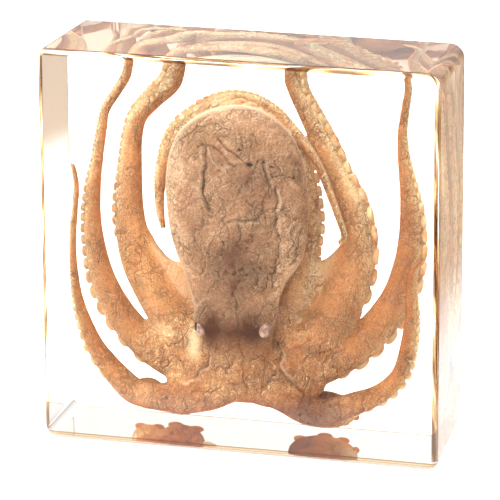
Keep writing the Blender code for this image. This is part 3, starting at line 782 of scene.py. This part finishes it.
def lobe_sucker(x, width, middle, halves):
    """A thin domed sucker on the far lower side of a lobe."""
    lean = (x - middle[0]) / halves[0]
    outward = Vector((lean * LOBE_SUCKER_SPREAD, *LOBE_SUCKER_FACING)).normalized()
    ring = math.sqrt(1 - lean * lean)
    run = math.hypot(halves[1] * outward.y, halves[2] * outward.z)
    seat = (x, middle[1] + ring * halves[1] ** 2 * outward.y / run,
            middle[2] + ring * halves[2] ** 2 * outward.z / run)
    return model_mass(seat, (width, *LOBE_SUCKER_HALVES))


def sucker_matrix(point, radius, forward, outward, spacing):
    """Where one sucker sits on an arm of this radius, and its size."""
    width = spacing * SUCKER_RADIUS
    height = min(spacing * SUCKER_HEIGHT, TALLEST_SUCKER)
    across = outward.cross(forward).normalized()
    turned = Matrix((forward, across, outward)).transposed().to_4x4()
    seat = Matrix.Translation(point + outward * radius * SUCKER_SEAT)
    narrow = min(width, radius * WIDEST_ON_ARM)
    return seat @ turned @ Matrix.Diagonal((width, narrow, height, 1.0))


def build_suckers():
    """All the suckers, copies of one cup, joined."""
    cup = draw_out(SUCKER_SIDES, [((0, 0, height), (2 * radius, 2 * radius))
                                  for height, radius in SUCKER_OUTLINE])
    copies = []
    for matrix in sucker_places():
        copy = bpy.data.objects.new("sucker", cup.data.copy())
        bpy.context.collection.objects.link(copy)
        copy.data.transform(matrix)
        copies.append(copy)
    bpy.data.objects.remove(cup)
    copies += [lobe_sucker(x, width, *LOBES[lobe]) for x, lobe, width in LOBE_SUCKERS]
    suckers = join_pieces("octopus_suckers", copies)
    face_outwards(suckers)
    return suckers


# The eyes: the left one's lid and its dark slit, and the right one's clouded lens
EYE_LID = ((-17.4, -5.2, 43.4), (1.9, 2.2, 3.0))
EYE_SLIT = ((-19.2, -6.1, 44.2), (0.5, 1.2, 1.8))
EYE_LENS = ((7.3, -7.2, 45.2), (2.3, 2.1, 3.1))
EYE_TILT = math.radians(-14)


def build_eyes():
    """The pale lid and the clouded lens."""
    lens = model_mass(*EYE_LENS)
    bpy.ops.object.mode_set(mode="EDIT")
    bpy.ops.mesh.select_all(action="SELECT")
    bpy.ops.transform.rotate(value=EYE_TILT, orient_axis="Y", center_override=EYE_LENS[0])
    bpy.ops.object.mode_set(mode="OBJECT")
    return join_pieces("octopus_eyes", [model_mass(*EYE_LID), lens])


# How high the painted reflection goes up the resin's front, and how strongly it takes up light, in
# metres
BANDS_TOP = 0.0032
RESIN_DENSITY = 10.0


def resin_material():
    """Clear cast polyester resin: sharp refraction, a straw tint, painted orange-brown reflections
    on the front edges.
    """
    material, tree, shader = new_material("clear_cast_resin")
    shader.inputs["Roughness"].default_value = 0.0
    shader.inputs["IOR"].default_value = 1.49
    shader.inputs["Transmission Weight"].default_value = 1.0
    where = add_node(tree, "TexCoord").outputs["Object"]
    # Painted reflections: orange-brown streaks along the rounded front edges, for what they show
    # refracted
    drawn_out = add_node(tree, "VectorMath", (where, (40.0, 1100.0, 40.0)), operation="MULTIPLY")
    streaks = add_node(tree, "TexNoise", {"Vector": drawn_out, "Scale": 1.0, "Detail": 3.0})
    painted_edge_reflection = add_node(tree, "ValToRGB", (streaks,), stops=[
        (0.4, "3C2210"), (0.47, "80501F"), (0.53, "B98F55"), (0.64, "FFFFFF")])
    edge = add_node(tree, "Attribute", attribute_name="front_edge").outputs["Fac"]
    colour = add_node(tree, "Mix", {0: edge, 6: "FFFFFF", 7: painted_edge_reflection}, data_type="RGBA")
    # Painted reflections in orange-brown and cream up the lowest part of the front, for the
    # octopus seen through the lower edge
    parts = add_node(tree, "SeparateXYZ", (where,))
    height = add_node(tree, "MapRange", (parts.outputs["Z"], 0.0, BANDS_TOP))
    uneven = add_node(tree, "Math", (streaks, 0.2, height), operation="MULTIPLY_ADD")
    painted_foot_reflection = add_node(tree, "ValToRGB", (uneven,), stops=[
        (0.1, "5A3414"), (0.24, "C48A3A"), (0.36, "FFF2D0"), (0.5, "FFE3A8"), (0.62, "A86E28"),
        (0.74, "FFDF9E"), (0.88, "9C6A2C"), (0.96, "70441A"), (1.0, "FFFFFF")])
    at_front = add_node(tree, "MapRange", (parts.outputs["Y"], -0.0248, -0.0254))
    at_foot = add_node(tree, "MapRange", (parts.outputs["Z"], 0.0036, BANDS_TOP))
    foot = add_node(tree, "Math", (at_front, at_foot), operation="MULTIPLY")
    banded = add_node(tree, "Mix", {0: foot, 6: colour, 7: painted_foot_reflection}, data_type="RGBA")
    tree.links.new(banded.outputs[COLOUR_RESULT], shader.inputs["Base Color"])
    tint = add_node(tree, "VolumeAbsorption", {"Color": "F2E0CC", "Density": RESIN_DENSITY})
    tree.links.new(tint.outputs["Volume"], tree.nodes["Material Output"].inputs["Volume"])
    return material


def flesh_light(shader, weight):
    """Let light spread under the skin, some 3 mm for red and less for green and blue."""
    shader.inputs["Subsurface Weight"].default_value = weight
    shader.inputs["Subsurface Radius"].default_value = (1.0, 0.5, 0.25)
    shader.inputs["Subsurface Scale"].default_value = 0.003
    shader.inputs["Specular IOR Level"].default_value = 0.1
    shader.inputs["Roughness"].default_value = 0.55


def skin_material():
    """Preserved octopus skin: taupe and finely wrinkled on the mantle, orange-tan on the arms."""
    material, tree, shader = new_material("preserved_skin")
    where = add_node(tree, "TexCoord").outputs["Object"]
    named = {name: add_node(tree, "Attribute", attribute_name=name).outputs["Fac"]
             for name in ("mantle", "skirt", "crease", "ridge", "rim", "tone", "arm_back",
                          "arm_out", "arm_share", "web", "smudge", "lit")}
    # Places moved about, for the nets of dark lines and for the wrinkles
    moved = []
    for scale, detail, reach in ((260.0, 4.0, 0.005), (160.0, 2.0, 0.009)):
        warp = add_node(tree, "TexNoise", {"Vector": where, "Scale": scale, "Detail": detail})
        shift = add_node(tree, "VectorMath", (warp.outputs["Color"], (0.5, 0.5, 0.5)),
                         operation="SUBTRACT")
        moved.append(add_node(tree, "VectorMath", (shift, (reach,) * 3, where),
                              operation="MULTIPLY_ADD"))
    for_nets, for_wrinkles = moved
    blotches = add_node(tree, "TexNoise", {"Vector": where, "Scale": 130.0, "Detail": 6.0,
                                           "Roughness": 0.65})
    # The arms, from their inner edge to the edge with suckers, and duller near the crown
    across = add_node(tree, "MapRange", (named["arm_out"], -1.0))
    arm = add_node(tree, "ValToRGB", (across,), stops=[
        (0.0, "FFC080"), (0.14, "F5B47A"), (0.3, "DAA26E"), (0.56, "D6A474"), (0.72, "EEC692"),
        (0.86, "FFEBBE")])
    near_crown = add_node(tree, "MapRange", (named["arm_share"], 0.3, 0.05, 0.0, 0.85))
    # The mantle and the skin round the head, by how pale they are in each place
    patchy = add_node(tree, "Math", (blotches, 2.4, -1.2), operation="MULTIPLY_ADD")
    toned = add_node(tree, "Math", (named["tone"], patchy), operation="ADD")
    level = add_node(tree, "MapRange", (toned, -0.8, 0.8))
    mantle = add_node(tree, "ValToRGB", (level,), stops=[
        (0.0, "7A533B"), (0.25, "9C7256"), (0.5, "BE9471"), (0.75, "D5AC8A"), (1.0, "F0CFAB")])
    skirt = add_node(tree, "ValToRGB", (level,), stops=[
        (0.0, "8E5C3A"), (0.25, "AC764C"), (0.5, "C48E60"), (0.75, "D8A676"), (1.0, "EEC794")])
    # Duller near the crown; the webs painted pale, partly their own colour and partly light
    # shining through the thin skin; then skirt and mantle
    skin = arm
    for mask, colour in ((near_crown, "B5825A"), (named["web"], "FFE2B2"),
                         (named["skirt"], skirt), (named["mantle"], mantle)):
        skin = add_node(tree, "Mix", {0: mask, 6: skin, 7: colour}, data_type="RGBA")
    # Wrinkles: cells like small cushions, some 6 mm and some 2 mm wide, with dark lines between
    # them. Each place is compared with one beside it, so that they look lit from the upper left
    beside = add_node(tree, "VectorMath", (for_wrinkles, (-0.0003, 0.0, 0.0003)), operation="ADD")
    come_and_go = add_node(tree, "TexNoise", {"Vector": where, "Scale": 110.0, "Detail": 4.0})
    present = add_node(tree, "MapRange", (come_and_go, 0.41, 0.58))
    tones = []
    for scale, width, dark, light in ((150.0, 0.1, 0.4, 0.7), (430.0, 0.24, 0.18, 0.3)):
        edges = []
        for place in (for_wrinkles, beside):
            stretched = add_node(tree, "VectorMath", (place, (1.2, 1.0, 0.75)),
                                 operation="MULTIPLY")
            cell = add_node(tree, "TexVoronoi", {"Vector": stretched, "Scale": scale},
                            feature="DISTANCE_TO_EDGE")
            edges.append(add_node(tree, "MapRange", (cell, 0.0, width),
                                  interpolation_type="SMOOTHSTEP"))
        line = add_node(tree, "Math", (edges[0], dark, 1.0 - dark), operation="MULTIPLY_ADD")
        rise = add_node(tree, "Math", edges, operation="SUBTRACT")
        lit_side = add_node(tree, "Math", (rise, light, line), operation="MULTIPLY_ADD")
        tones.append(add_node(tree, "Mix", {0: present, 2: 0.97, 3: lit_side}))
    # A grain, and soft folds lit from the same side
    grain = add_node(tree, "TexNoise", {"Vector": where, "Scale": 1400.0, "Detail": 1.0})
    grained = add_node(tree, "MapRange", (grain, 0.25, 0.75, 0.78, 1.22))
    folds = [add_node(tree, "TexNoise", {"Vector": place, "Scale": 260.0, "Detail": 4.0,
                                         "Roughness": 0.6}) for place in (for_wrinkles, beside)]
    slope = add_node(tree, "Math", folds, operation="SUBTRACT")
    emboss = add_node(tree, "Math", (slope, 3.0, 1.04), operation="MULTIPLY_ADD")
    wrinkled = tones[0]
    for other in (tones[1], grained):
        wrinkled = add_node(tree, "Math", (wrinkled, other), operation="MULTIPLY")
    relief_tone = add_node(tree, "Math", (wrinkled, emboss), operation="MULTIPLY")
    # All of it on mantle and head, and less on the arms
    furrowed = add_node(tree, "Math", (named["mantle"], named["skirt"]), operation="ADD")
    amount = add_node(tree, "MapRange", (furrowed, 0.0, 1.0, 0.6))
    relief_part = add_node(tree, "Mix", {0: amount, 2: 1.0, 3: relief_tone})
    gentle = add_node(tree, "Math", (toned, 0.22, 1.0), operation="MULTIPLY_ADD")
    either = add_node(tree, "Mix", {0: named["mantle"], 2: gentle, 3: 1.0})
    factor = add_node(tree, "Math", (either, relief_part), operation="MULTIPLY")
    # Dark places are a deeper orange and pale ones creamier, more so on the arms
    channels = [factor]
    for arm_power, mantle_power in ((1.6, 1.25), (2.05, 1.45)):
        power = add_node(tree, "Mix", {0: named["mantle"], 2: arm_power, 3: mantle_power})
        channels.append(add_node(tree, "Math", (factor, power), operation="POWER"))
    tinted = add_node(tree, "CombineXYZ", channels)
    shaded = add_node(tree, "VectorMath", (skin, tinted), operation="MULTIPLY")
    # Where the nets are: on the arms' backs, round the head and a little on the mantle
    pigment = add_node(tree, "MapRange", (named["arm_back"], 0.0, -0.5))
    partly = add_node(tree, "Math", (named["mantle"], 0.1), operation="MULTIPLY")
    not_web = add_node(tree, "Math", (1.0, named["web"]), operation="SUBTRACT")
    drawn = pigment
    for other, how in ((partly, "MAXIMUM"), (named["skirt"], "MAXIMUM"), (present, "MULTIPLY"),
                       (not_web, "MULTIPLY")):
        drawn = add_node(tree, "Math", (drawn, other), operation=how)
    # Polygon nets of some 2.5 mm: pale edges first, then the dark lines
    net = add_node(tree, "TexVoronoi", {"Vector": for_nets, "Scale": 380.0},
                   feature="DISTANCE_TO_EDGE")
    laid = shaded
    for inner, outer, strength, colour in ((0.12, 0.26, 0.3, "F4D9AE"),
                                           (0.02, 0.1, 0.5, "66381E")):
        near = add_node(tree, "MapRange", (net, inner, outer, 1.0, 0.0))
        there = add_node(tree, "Math", (near, drawn), operation="MULTIPLY")
        lines = add_node(tree, "Math", (there, strength), operation="MULTIPLY")
        laid = add_node(tree, "Mix", {0: lines, 6: laid, 7: colour}, data_type="RGBA")
    # Then fine dark stipple, the painted rim light, painted highlights on the ridges, the dark
    # pigment round the eyes, painted shade in the creases and slit, and a painted patch of light
    # by the left eye
    stipple = add_node(tree, "TexNoise", {"Vector": where, "Scale": 2000.0, "Detail": 2.0})
    dots = add_node(tree, "MapRange", (stipple, 0.52, 0.66, 0.0, 0.45))
    ragged = add_node(tree, "MapRange", (blotches, 0.35, 0.6, 0.55, 1.1))
    smudge = add_node(tree, "Math", (named["smudge"], ragged), operation="MULTIPLY")
    for mask, colour in ((dots, "8A5C3C"), (named["rim"], "FFF0D2"), (named["ridge"], "FBE3BE"),
                         (smudge, "562A15"), (named["crease"], "462817"),
                         (named["lit"], "FFF6D2")):
        laid = add_node(tree, "Mix", {0: mask, 6: laid, 7: colour}, data_type="RGBA")
    # The underside, seen mirrored in the block's lower side, is a deeper brown
    facing = add_node(tree, "SeparateXYZ", (add_node(tree, "NewGeometry").outputs["Normal"],))
    places = add_node(tree, "SeparateXYZ", (where,))
    downward = add_node(tree, "MapRange", (facing.outputs["Z"], -0.4, -0.8))
    low = add_node(tree, "MapRange", (places.outputs["Z"], 0.016, 0.011))
    under = add_node(tree, "Math", (downward, low), operation="MULTIPLY")
    deepened = add_node(tree, "Mix", {0: under, 6: laid, 7: (1.0, 0.6, 0.28, 1.0)},
                        data_type="RGBA", blend_type="MULTIPLY")
    tree.links.new(deepened.outputs[COLOUR_RESULT], shader.inputs["Base Color"])
    # Wrinkles and net lines as a relief of up to 0.9 mm
    groove = add_node(tree, "Math", (lines, -0.6, 0.0), operation="MULTIPLY_ADD")
    height = add_node(tree, "Math", (wrinkled, groove), operation="ADD")
    relief = add_node(tree, "Bump", {"Height": height, "Strength": 0.8, "Distance": 0.0009})
    tree.links.new(relief.outputs["Normal"], shader.inputs["Normal"])
    flesh_light(shader, 0.25)
    # Light comes through where the skin is thin: the webs and the arms' inner edges
    thin = add_node(tree, "MapRange", (named["arm_out"], -0.2, -0.9, 0.1, 0.4))
    not_mantle = add_node(tree, "Math", (1.0, furrowed), operation="SUBTRACT")
    arm_thin = add_node(tree, "Math", (thin, not_mantle), operation="MULTIPLY")
    web_thin = add_node(tree, "Math", (named["web"], 0.5), operation="MULTIPLY")
    share = add_node(tree, "Math", (arm_thin, web_thin), operation="MAXIMUM")
    through = add_node(tree, "BsdfTranslucent", {"Color": "FFD098"})
    body = add_node(tree, "MixShader", (share, shader, through))
    tree.links.new(body.outputs["Shader"], tree.nodes["Material Output"].inputs["Surface"])
    return material


def sucker_material():
    """Sucker flesh, pale orange, and a deeper orange under the lobes, low and far back."""
    material, tree, shader = new_material("sucker_flesh")
    where = add_node(tree, "TexCoord").outputs["Object"]
    spots = add_node(tree, "TexNoise", {"Vector": where, "Scale": 300.0, "Detail": 4.0})
    colour = add_node(tree, "ValToRGB", (spots,), stops=[(0.35, "E8B684"), (0.65, "FFE9C2")])
    parts = add_node(tree, "SeparateXYZ", (where,))
    low = add_node(tree, "MapRange", (parts.outputs["Z"], 0.013, 0.010))
    back = add_node(tree, "MapRange", (parts.outputs["Y"], 0.011, 0.014))
    under = add_node(tree, "Math", (low, back), operation="MULTIPLY")
    deeper = add_node(tree, "Mix", {0: under, 6: colour, 7: "C9803C"}, data_type="RGBA")
    tree.links.new(deeper.outputs[COLOUR_RESULT], shader.inputs["Base Color"])
    flesh_light(shader, 0.4)
    return material


def eye_material():
    """A clouded lens, pinkish grey with darker patches."""
    material, tree, shader = new_material("clouded_lens")
    where = add_node(tree, "TexCoord").outputs["Object"]
    cloud = add_node(tree, "TexNoise", {"Vector": where, "Scale": 500.0, "Detail": 3.0})
    colour = add_node(tree, "ValToRGB", (cloud,), stops=[(0.38, "8C6E62"), (0.6, "DCBCAC")])
    tree.links.new(colour.outputs["Color"], shader.inputs["Base Color"])
    shader.inputs["Roughness"].default_value = 0.3
    return material


def slit_material():
    """The eye's dark slit."""
    material, tree, shader = new_material("dark_pupil")
    shader.inputs["Base Color"].default_value = hex_colour("2E1C16")
    shader.inputs["Roughness"].default_value = 0.4
    return material


def floor_material():
    """A white sheet that glows round and behind the block, on a darker surface in warm grey."""
    material, tree, shader = new_material("white_floor")
    where = add_node(tree, "TexCoord").outputs["Object"]
    parts = add_node(tree, "SeparateXYZ", (where,))
    along = add_node(tree, "Math", (parts.outputs["Y"], math.tan(math.radians(VIEW_TURN)),
                                    parts.outputs["X"]), operation="MULTIPLY_ADD")
    # The sheet's right, left and front edges
    level = 1.0
    for value, start, end in ((along, 0.16, 0.108), (along, -0.16, -0.108),
                              (parts.outputs["Y"], -0.11, -0.065)):
        edge = add_node(tree, "MapRange", (value, start, end), interpolation_type="SMOOTHSTEP")
        level = add_node(tree, "Math", (level, edge), operation="MULTIPLY")
    before = add_node(tree, "MapRange", (parts.outputs["Y"], -0.1, -0.16))
    around = add_node(tree, "Mix", {0: before, 6: "A39586", 7: "988A7E"}, data_type="RGBA")
    colour = add_node(tree, "Mix", {0: level, 6: around, 7: "F6F6F6"}, data_type="RGBA")
    # It glows, dimly in front of the block and brightly under and behind it
    beneath = add_node(tree, "MapRange", (parts.outputs["Y"], -0.036, -0.022, 0.1, 0.9))
    glow = add_node(tree, "Math", (level, beneath), operation="MULTIPLY")
    tree.links.new(colour.outputs[COLOUR_RESULT], shader.inputs["Base Color"])
    tree.links.new(colour.outputs[COLOUR_RESULT], shader.inputs["Emission Color"])
    tree.links.new(glow.outputs[0], shader.inputs["Emission Strength"])
    shader.inputs["Roughness"].default_value = 0.8
    return material


def stand_matrix():
    """From upright millimetres to metres on the floor, leaned back on the drafted lower side."""
    lean = math.atan(DRAFT_INSET / DEPTH)
    tilt = Matrix.Rotation(-lean, 4, "X") @ Matrix.Translation((0, DEPTH / 2, 0))
    front = (tilt @ Vector((0, -DEPTH / 2, FRONT_EDGE_RADIUS))).y
    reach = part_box("resin_front")[0].y / MM
    return Matrix.Scale(MM, 4) @ Matrix.Translation((0, reach - front, 0)) @ tilt


def stand_up(piece, stand, material):
    """Bring a finished piece to its place, apply it, and give it its material."""
    piece.matrix_world = stand
    activate(piece)
    bpy.ops.object.transform_apply(location=True, rotation=True, scale=True)
    piece.data.materials.clear()
    piece.data.materials.append(material)


def set_camera(stand):
    """The photograph's viewpoint."""
    turn, down, roll = [math.radians(angle) for angle in (VIEW_TURN, VIEW_DOWN, VIEW_ROLL)]
    ahead = Vector((-math.sin(turn) * math.cos(down), math.cos(turn) * math.cos(down),
                    -math.sin(down)))
    right = ahead.cross(Vector((0, 0, 1))).normalized()
    up = right.cross(ahead)
    across = right * math.cos(roll) + up * math.sin(roll)
    upward = up * math.cos(roll) - right * math.sin(roll)
    place = Vector(VIEW_AIM) - ahead * VIEW_DISTANCE
    turned = Matrix((across, upward, -ahead)).transposed().to_4x4()
    bpy.ops.object.camera_add()
    camera = bpy.context.object
    moved = stand @ Matrix.Translation(place) @ turned
    camera.matrix_world = Matrix.LocRotScale(moved.to_translation(), moved.to_quaternion(), None)
    camera.data.lens = LENS
    camera.data.clip_end = 100.0
    bpy.context.scene.camera = camera


# The lamp: where it hangs and what it looks at, in metres, its width, and its power in watts
LAMP_PLACE = (-0.55, -0.7, 1.0)
LAMP_AIM = (0, 0, 0.07)
LAMP_SIZE = 0.6
LAMP_POWER = 38.0


def set_light():
    """White light, most of it from above and behind, and a large soft lamp at the upper left."""
    world = bpy.data.worlds.new("studio")
    world.use_nodes = True
    tree = world.node_tree
    way = add_node(tree, "TexCoord").outputs["Generated"]
    parts = add_node(tree, "SeparateXYZ", (way,))
    above = add_node(tree, "MapRange", (parts.outputs["Z"], 0.0, 1.0, 0.5, 1.9))
    behind = add_node(tree, "MapRange", (parts.outputs["Y"], -0.9, 0.3, 0.9, 1.0))
    horizon = add_node(tree, "MapRange", (parts.outputs["Y"], 0.85, 0.95, 0.0, 0.25))
    level = add_node(tree, "Math", (above, behind, horizon), operation="MULTIPLY_ADD")
    tree.links.new(level.outputs[0], tree.nodes["Background"].inputs["Strength"])
    tree.nodes["Background"].inputs["Color"].default_value = (1.0, 1.0, 1.0, 1.0)
    bpy.context.scene.world = world
    bpy.ops.object.light_add(type="AREA", location=LAMP_PLACE)
    lamp = bpy.context.object
    lamp.data.shape = "DISK"
    lamp.data.size = LAMP_SIZE
    lamp.data.energy = LAMP_POWER
    lamp.rotation_euler = (Vector(LAMP_AIM) - lamp.location).to_track_quat("-Z", "Y").to_euler()


# The floor's width, and how far under the block it lies so that the two don't touch, in metres
FLOOR_SIZE = 20.0
FLOOR_GAP = 0.0002


def set_floor():
    """The surface that the block stands on."""
    bpy.ops.mesh.primitive_plane_add(size=FLOOR_SIZE, location=(0, 0, -FLOOR_GAP))
    floor = bpy.context.object
    floor.name = "studio_floor"
    floor.data.materials.append(floor_material())


def build():
    """All the pieces, in their places, with their finishes."""
    stand = stand_matrix()
    set_camera(stand)
    block = model_block()
    stand_up(block, stand, resin_material())
    skin = build_skin()
    stand_up(skin, stand, skin_material())
    suckers = build_suckers()
    stand_up(suckers, stand, sucker_material())
    eyes = build_eyes()
    stand_up(eyes, stand, eye_material())
    slit = model_mass(*EYE_SLIT)
    slit.name = slit.data.name = "octopus_pupil"
    stand_up(slit, stand, slit_material())
    for piece in (skin, suckers, eyes, slit):
        activate(piece)
        bpy.ops.object.shade_smooth()
        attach(piece, "root")
        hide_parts("octopus")
    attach(block, "root")
    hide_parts("resin_front", "resin_back")
    set_floor()
    set_light()


build()

scene = bpy.context.scene
scene.view_settings.view_transform = "Standard"
scene.cycles.max_bounces = 24
scene.cycles.transmission_bounces = 20
scene.cycles.diffuse_bounces = 6
